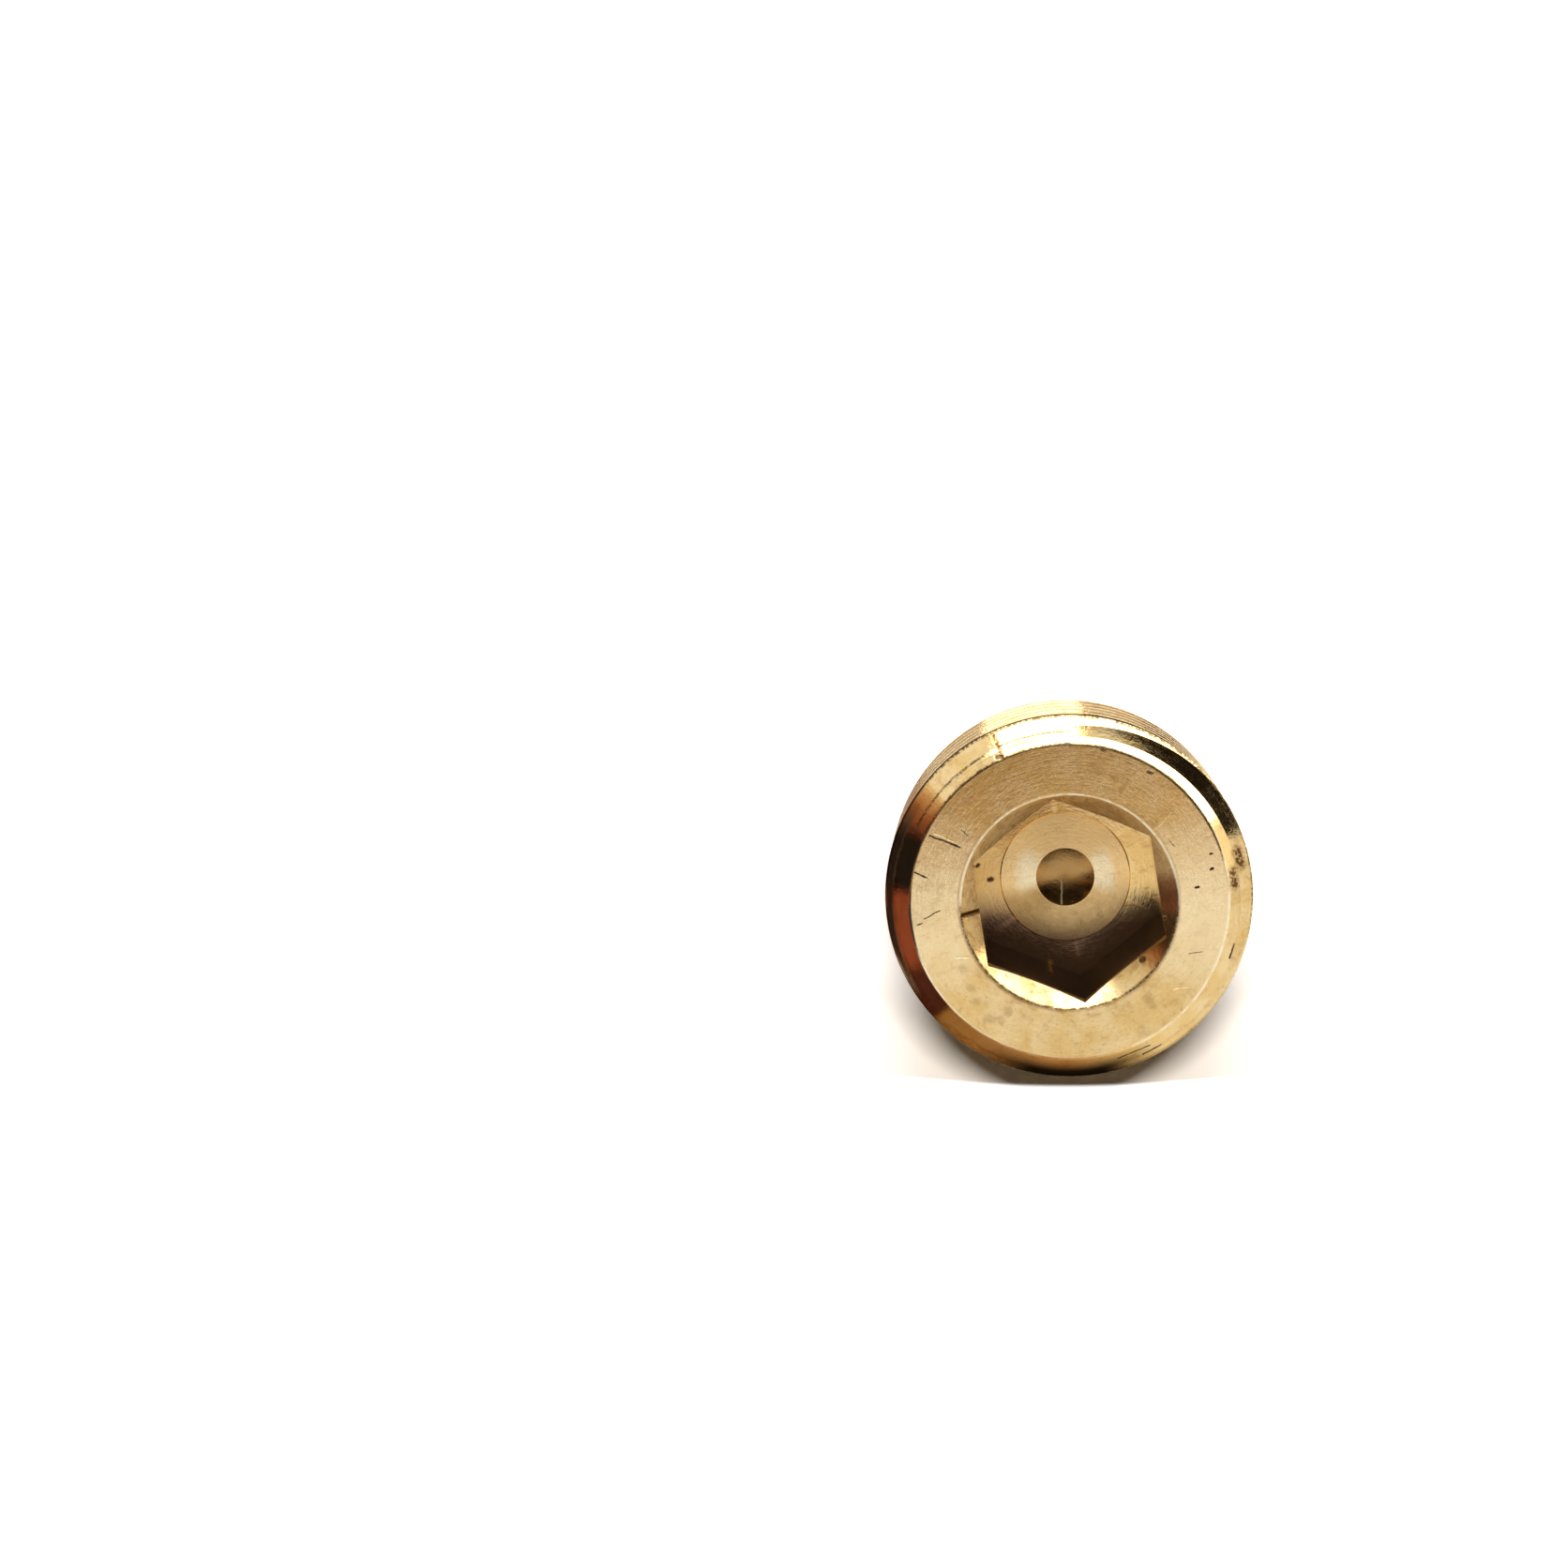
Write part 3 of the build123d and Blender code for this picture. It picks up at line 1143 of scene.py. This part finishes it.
forward = (CAMERA_AIM - CAMERA_PLACE).normalized()
picture_right = forward.cross(PICTURE_UP).normalized()
camera_up = picture_right.cross(forward)
camera_turn = Matrix((picture_right, camera_up, -forward)).transposed().to_euler()
bpy.ops.object.camera_add(location=CAMERA_PLACE, rotation=camera_turn)
camera = bpy.context.object
camera.data.lens = LENS
camera.data.sensor_width = SENSOR
camera.data.clip_start = CLIP_START
bpy.context.scene.camera = camera
print("camera stands", round((CAMERA_AIM - CAMERA_PLACE).length / MM), "mm away")

# %% [markdown]
# ## What a polished part sees
#
# A metal part has almost no colour of its own to show: its picture is made of what stands round
# it. Photographers of small bright parts know this and build a little room of white sheets and
# black cards. The cards here give light to reflections alone. The camera and the floor don't see
# them, so the ground stays white while the brass gets its dark bands.

# %% Directions in the picture
axis_up = Vector((PICTURE_UP.x, PICTURE_UP.y, 0)).normalized()
axis_right = axis_up.cross(Vector((0, 0, 1)))
PICTURE_TURN = atan2(axis_right.y, axis_right.x)
WHITE = (1.0, 0.99, 0.97)
print("the picture is turned by", round(PICTURE_TURN * 180 / pi, 1), "degrees")


# %% Helpers for the cards
def glow(name, colour, strength=1.0):
    material, tree = new_material(name)
    tree.nodes.clear()
    light = tree.nodes.new("ShaderNodeEmission")
    feed((*colour, 1), light.inputs["Color"])
    feed(strength, light.inputs["Strength"])
    feed(light.outputs[0], tree.nodes.new("ShaderNodeOutputMaterial").inputs[0])
    return material


def flat_card(name, place, turn, width, depth):
    """A rectangle; its place and sides are in metres."""
    bpy.ops.mesh.primitive_plane_add(size=1, location=(0, 0, 0))
    piece = bpy.context.object
    piece.name = name
    piece.location = place
    piece.rotation_euler = turn
    piece.scale = (width, depth, 1)
    bpy.ops.object.transform_apply(location=True, rotation=True, scale=True)
    return piece


def only_in_reflections(piece, material):
    """Dresses a card and hides it from all rays but glossy ones."""
    piece.data.materials.append(material)
    piece.visible_camera = False
    piece.visible_diffuse = False
    piece.visible_shadow = False
    piece.visible_transmission = False
    piece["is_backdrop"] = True
    return piece


def band(name, radius, from_degrees, to_degrees, low, high, material, steps=24):
    """An upright strip on a circle round the plug; degrees turn from the picture's right."""
    piece = draw_outline(name, [(radius, low), (radius, high)])
    piece.rotation_euler.z = PICTURE_TURN + radians(from_degrees)
    select_only(piece)
    bpy.ops.object.transform_apply(rotation=True)
    edit_all(piece)
    swept = radians(to_degrees - from_degrees)
    bpy.ops.mesh.spin(steps=steps, angle=-swept, center=(0, 0, 0), axis=(0, 0, 1))
    bpy.ops.object.mode_set(mode="OBJECT")
    return only_in_reflections(piece, material)


# %% [markdown]
# ## White light and a black card overhead
#
# Two curved white bands stand behind the plug as a softbox would and burn the upper chamfer to
# white. A wide black card hangs in front of them and above the camera. The thread flanks and the
# upper side of the socket look straight at it, which draws the groove as a dark line.

# %% Softbox
SOFTBOX_STRENGTH = 5.0

softbox = glow("softbox", WHITE, SOFTBOX_STRENGTH)
band("softbox_low", 400, 21, 118, 10, 140, softbox)
band("softbox_high", 401, 80, 118, 10, 420, softbox)
print("softbox of two bands, strength", SOFTBOX_STRENGTH)

# %% Black card
CARD_HEIGHT = 450
CARD_SIZE = (4.2, 1.12)
CARD_PLACE = (0.05, 0.42)
CARD_TILT = radians(13)
CARD_BLACK = (0.012, 0.009, 0.008)

card_middle = axis_right * CARD_PLACE[0] + axis_up * CARD_PLACE[1]
card_place = (card_middle * CARD_HEIGHT + Vector((0, 0, LENGTH + CARD_HEIGHT))) * MM
card_sides = [side * CARD_HEIGHT * MM for side in CARD_SIZE]
black_card = flat_card("black_card", card_place, (0, 0, PICTURE_TURN + CARD_TILT), *card_sides)
only_in_reflections(black_card, glow("black_card", CARD_BLACK))
print("black card", [round(side, 2) for side in black_card.dimensions], "m")

# %% [markdown]
# ## Flags at the left
#
# The left side of the plug faces the unlit side of the room, and the brass turns what stands
# there into the deep red-browns that make it look like metal and not like yellow paint. One flag
# runs from a golden brown into black and the next one from black into dull red. Their colours
# change with the turn, so no hard edge shows in the chamfer. A low white window closes the ring
# on the near side.


# %% Colours along a scale
def shade_ramp(value, shades):
    """Colours along a scale; each shade is a place on the scale and a colour."""
    low = shades[0][0]
    high = shades[-1][0]
    ramp = tree_of(value).nodes.new("ShaderNodeValToRGB")
    stops = ramp.color_ramp.elements
    stops.remove(stops[1])
    for number, (place, shade) in enumerate(shades):
        stop = stops.new((place - low) / (high - low)) if number else stops[0]
        stop.color = (*shade, 1)
    share = calculate("DIVIDE", calculate("SUBTRACT", value, low), high - low)
    feed(share, ramp.inputs[0])
    return ramp.outputs["Color"]


# %% Flags and window
BLACK = (0.015, 0.012, 0.014)
FLAG_RADIUS = 60
WINDOW_STRENGTH = 1.3
GOLDEN_TO_BLACK = [
    (146, (0.85, 0.70, 0.55)),
    (151, (0.52, 0.30, 0.18)),
    (156, (0.33, 0.13, 0.07)),
    (161, (0.14, 0.045, 0.03)),
    (165, BLACK),
    (183, BLACK),
]
BLACK_TO_RED = [
    (183, BLACK),
    (187, (0.27, 0.075, 0.05)),
    (212, (0.29, 0.08, 0.05)),
]


def shaded_flag(name, shades, low, high):
    """A flag at the left whose glow changes with the turn, in degrees from the picture's right."""
    material = glow(name, BLACK)
    tree = material.node_tree
    place = object_place(tree)
    rise = measured_along(place, axis_up)
    leftward = measured_along(place, -axis_right)
    turn = product(calculate("ARCTAN2", rise, leftward), 180 / pi)
    turn = calculate("SUBTRACT", 180, turn)
    feed(shade_ramp(turn, shades), tree.nodes["Emission"].inputs["Color"])
    return band(name, FLAG_RADIUS, shades[0][0], shades[-1][0], low, high, material)


shaded_flag("dark_flag", GOLDEN_TO_BLACK, 1, 94)
shaded_flag("red_flag", BLACK_TO_RED, 1, 43)
band("window", 380, -60, 21, 1, 110, glow("window", WHITE, WINDOW_STRENGTH))
print("flag colours:", len(GOLDEN_TO_BLACK), "and", len(BLACK_TO_RED))

# %% [markdown]
# ## The sheet below the plug
#
# A plug that lies on its thread has a white sheet right under it, and the lower chamfer mirrors
# that sheet together with the shadow where the two touch. This plug stands on its end, so a card
# just below its rim stands in for the sheet. From left to right it goes from dull red through
# black and warm browns to white, as the shadowed side of a table would. A black spot marks the
# touching line. Far from the plug the card ends in the warm grey of the room behind the camera.

# %% Colours of the sheet
SHEET_SHADES = [
    (-40, (0.27, 0.075, 0.05)),
    (-21, (0.28, 0.075, 0.05)),
    (-17.5, (0.08, 0.022, 0.018)),
    (-11, (0.07, 0.022, 0.018)),
    (-10.3, (0.32, 0.18, 0.08)),
    (-6, (0.38, 0.22, 0.11)),
    (0, (0.52, 0.30, 0.15)),
    (2, (0.64, 0.46, 0.28)),
    (4, (0.90, 0.77, 0.52)),
    (6, (1.0, 0.95, 0.84)),
    (9, WHITE),
]
TOUCH_BLACK = (0.01, 0.008, 0.008)
BEHIND_LEFT = (0.03, 0.025, 0.03)
ROOM_GREY_LEFT = (0.44, 0.265, 0.115)
ROOM_GREY_RIGHT = (0.74, 0.59, 0.45)
TOUCH_SIDE = (2.0, 7.0)
TOUCH_HEIGHT = (10.9, 11.9)
OPEN_HEIGHT = (13, 18)
BEHIND_HEIGHT = (16, 20)
LEFT_SIDE = (-26, -16)
END_HEIGHT = (98, 104)
GREY_SIDE = (-9, 12)

sheet_material = glow("sheet", WHITE)
sheet_tree = sheet_material.node_tree
sheet_place = scaled(object_place(sheet_tree), 1 / MM)
sheet_across = measured_along(sheet_place, axis_right)
sheet_height = separated(sheet_place)[2]
near_touch = product(
    fade(calculate("ABSOLUTE", sheet_across), *TOUCH_SIDE, 1.0, 0.0),
    fade(sheet_height, *TOUCH_HEIGHT, 1.0, 0.0),
)
open_sheet = product(fade(sheet_height, *OPEN_HEIGHT), fade(sheet_across, *LEFT_SIDE))
behind_left = product(
    fade(sheet_height, *BEHIND_HEIGHT),
    fade(sheet_across, *LEFT_SIDE, 1.0, 0.0),
)
past_end = fade(sheet_height, *END_HEIGHT)
grey_share = fade(sheet_across, *GREY_SIDE)
room_grey = blend(grey_share, ROOM_GREY_LEFT, ROOM_GREY_RIGHT)
sheet_colour = shade_ramp(sheet_across, SHEET_SHADES)
for mask, shade in (
    (near_touch, TOUCH_BLACK),
    (open_sheet, WHITE),
    (behind_left, BEHIND_LEFT),
    (past_end, room_grey),
):
    sheet_colour = blend(mask, sheet_colour, shade)
feed(sheet_colour, sheet_tree.nodes["Emission"].inputs["Color"])
print("shades of the sheet:", len(SHEET_SHADES))

# %% Sheet card
SHEET_BELOW = 10.65
SHEET_HALF_WIDTH = 200
SHEET_LOW = 9.0
SHEET_HIGH = 300
UPRIGHT = radians(90)

sheet_middle = (axis_up * -SHEET_BELOW + Vector((0, 0, (SHEET_HIGH + SHEET_LOW) / 2))) * MM
sheet_sides = (2 * SHEET_HALF_WIDTH * MM, (SHEET_HIGH - SHEET_LOW) * MM)
sheet = flat_card("sheet", sheet_middle, (UPRIGHT, 0, PICTURE_TURN), *sheet_sides)
only_in_reflections(sheet, sheet_material)
print("sheet stands", SHEET_BELOW, "mm from the axis")

# %% [markdown]
# ## The floor
#
# The floor is plain, pale paper that keeps the plug's shadow. Lit by the lamp alone it would look
# grey, so it also glows, but only for camera rays: the brass never sees that glow. The glow knows
# its place. It is weaker above and beside the plug, where the shadow fades out softly, it is gone
# just below the plug, where the shadow is dark, and it comes back at full strength along a wide
# arc. So the shadow's flat lower edge is drawn by the glow: the lamp's own shadow reaches about a
# millimetre farther and is round. The glow suits this one view and stays put in all the others.

# %% Floor
FLOOR_SIZE = 3.0
FLOOR_COLOUR = (0.90, 0.89, 0.88)
FLOOR_ROUGHNESS = 0.9
SHADE_GLOW = 0.0
OPEN_GLOW = 0.55
FRONT_GLOW = 1.0
SHADE_ARC = 70
ARC_EDGE = (SHADE_ARC + 13.0, SHADE_ARC + 13.3)
BELOW_EDGE = (4.5, 10.5)
SIDE_EDGE = (6.5, 15.0)
FAR_EDGE = (60, 500)

floor = flat_card("floor", (0, 0, 0), (0, 0, 0), FLOOR_SIZE, FLOOR_SIZE)
paper, paper_tree = new_material("paper")
paper_surface = paper_tree.nodes["Principled BSDF"]
paper_surface.inputs["Base Color"].default_value = (*FLOOR_COLOUR, 1)
paper_surface.inputs["Roughness"].default_value = FLOOR_ROUGHNESS
paper_surface.inputs["Emission Color"].default_value = (1, 1, 1, 1)
paper_path = paper_tree.nodes.new("ShaderNodeLightPath").outputs
paper_place = scaled(object_place(paper_tree), 1 / MM)
below_plug = measured_along(paper_place, -axis_up)
beside_plug = measured_along(paper_place, axis_right)
beside_plug = calculate("ABSOLUTE", beside_plug)
from_plug = vector_step("DISTANCE", paper_place, (0, 0, 0))
from_arc = vector_step("DISTANCE", paper_place, tuple(axis_up * SHADE_ARC))
paper_glow = largest(
    fade(from_plug, *FAR_EDGE),
    fade(below_plug, *BELOW_EDGE, OPEN_GLOW, SHADE_GLOW),
    fade(from_arc, *ARC_EDGE, SHADE_GLOW, FRONT_GLOW),
    fade(beside_plug, *SIDE_EDGE, SHADE_GLOW, OPEN_GLOW),
)
paper_glow = product(paper_path["Is Camera Ray"], paper_glow)
feed(paper_glow, paper_surface.inputs["Emission Strength"])
floor.data.materials.append(paper)
floor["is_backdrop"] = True
print("floor", FLOOR_SIZE, "m wide")

# %% [markdown]
# ## Key light and world
#
# A strip lamp above and behind throws the plug's shadow towards the viewer. A strip as wide as
# this one, but thin, gives a shadow that is soft at its sides and crisp along its front. It is
# kept out of reflections, so the brass doesn't show it as a bright bar. The world is white to the
# camera and to reflections, but gives the floor only a faint warm fill, or it would wash the
# shadow out.

# %% Key light
KEY_DISTANCE = 0.6
KEY_WIDTH = 0.16
KEY_HEIGHT = 0.014
KEY_POWER = 3.7
KEY_COLOUR = (1.0, 0.92, 0.82)
KEY_RAISE = radians(18.0)

key_direction = axis_up * sin(KEY_RAISE) + Vector((0, 0, cos(KEY_RAISE)))
key_axes = Matrix((axis_right, key_direction.cross(axis_right), key_direction))
bpy.ops.object.light_add(
    type="AREA",
    location=key_direction * KEY_DISTANCE,
    rotation=key_axes.transposed().to_euler(),
)
key_light = bpy.context.object
key_light.name = "key_light"
key_light.data.shape = "RECTANGLE"
key_light.data.size = KEY_WIDTH
key_light.data.size_y = KEY_HEIGHT
key_light.data.energy = KEY_POWER
key_light.data.color = KEY_COLOUR
key_light.visible_glossy = False
print("key light", KEY_POWER, "W at", KEY_DISTANCE, "m")

# %% World
FILL_LEVEL = 0.02
FILL_COLOUR = (1.0, 0.80, 0.66)
SEEN_LEVEL = 1.05

world = bpy.data.worlds.new("white_room")
bpy.context.scene.world = world
world.use_nodes = True
air = world.node_tree
sky = air.nodes["Background"]
path = air.nodes.new("ShaderNodeLightPath").outputs
seen = largest(path["Is Camera Ray"], path["Is Glossy Ray"], path["Is Transmission Ray"])
feed(fade(seen, 0.0, 1.0, FILL_LEVEL, SEEN_LEVEL), sky.inputs["Strength"])
feed(blend(seen, FILL_COLOUR, WHITE), sky.inputs["Color"])
bpy.context.scene.view_settings.view_transform = "Standard"
print("world: fill", FILL_LEVEL, "and seen at", SEEN_LEVEL)

# %% [markdown]
# ## The CAD box
#
# The plug is built to the CAD part's length. The last cell prints the CAD part's box in
# millimetres.

# %% CAD box
print("CAD box", [[round(side / MM, 2) for side in corner] for corner in (cad_low, cad_high)])
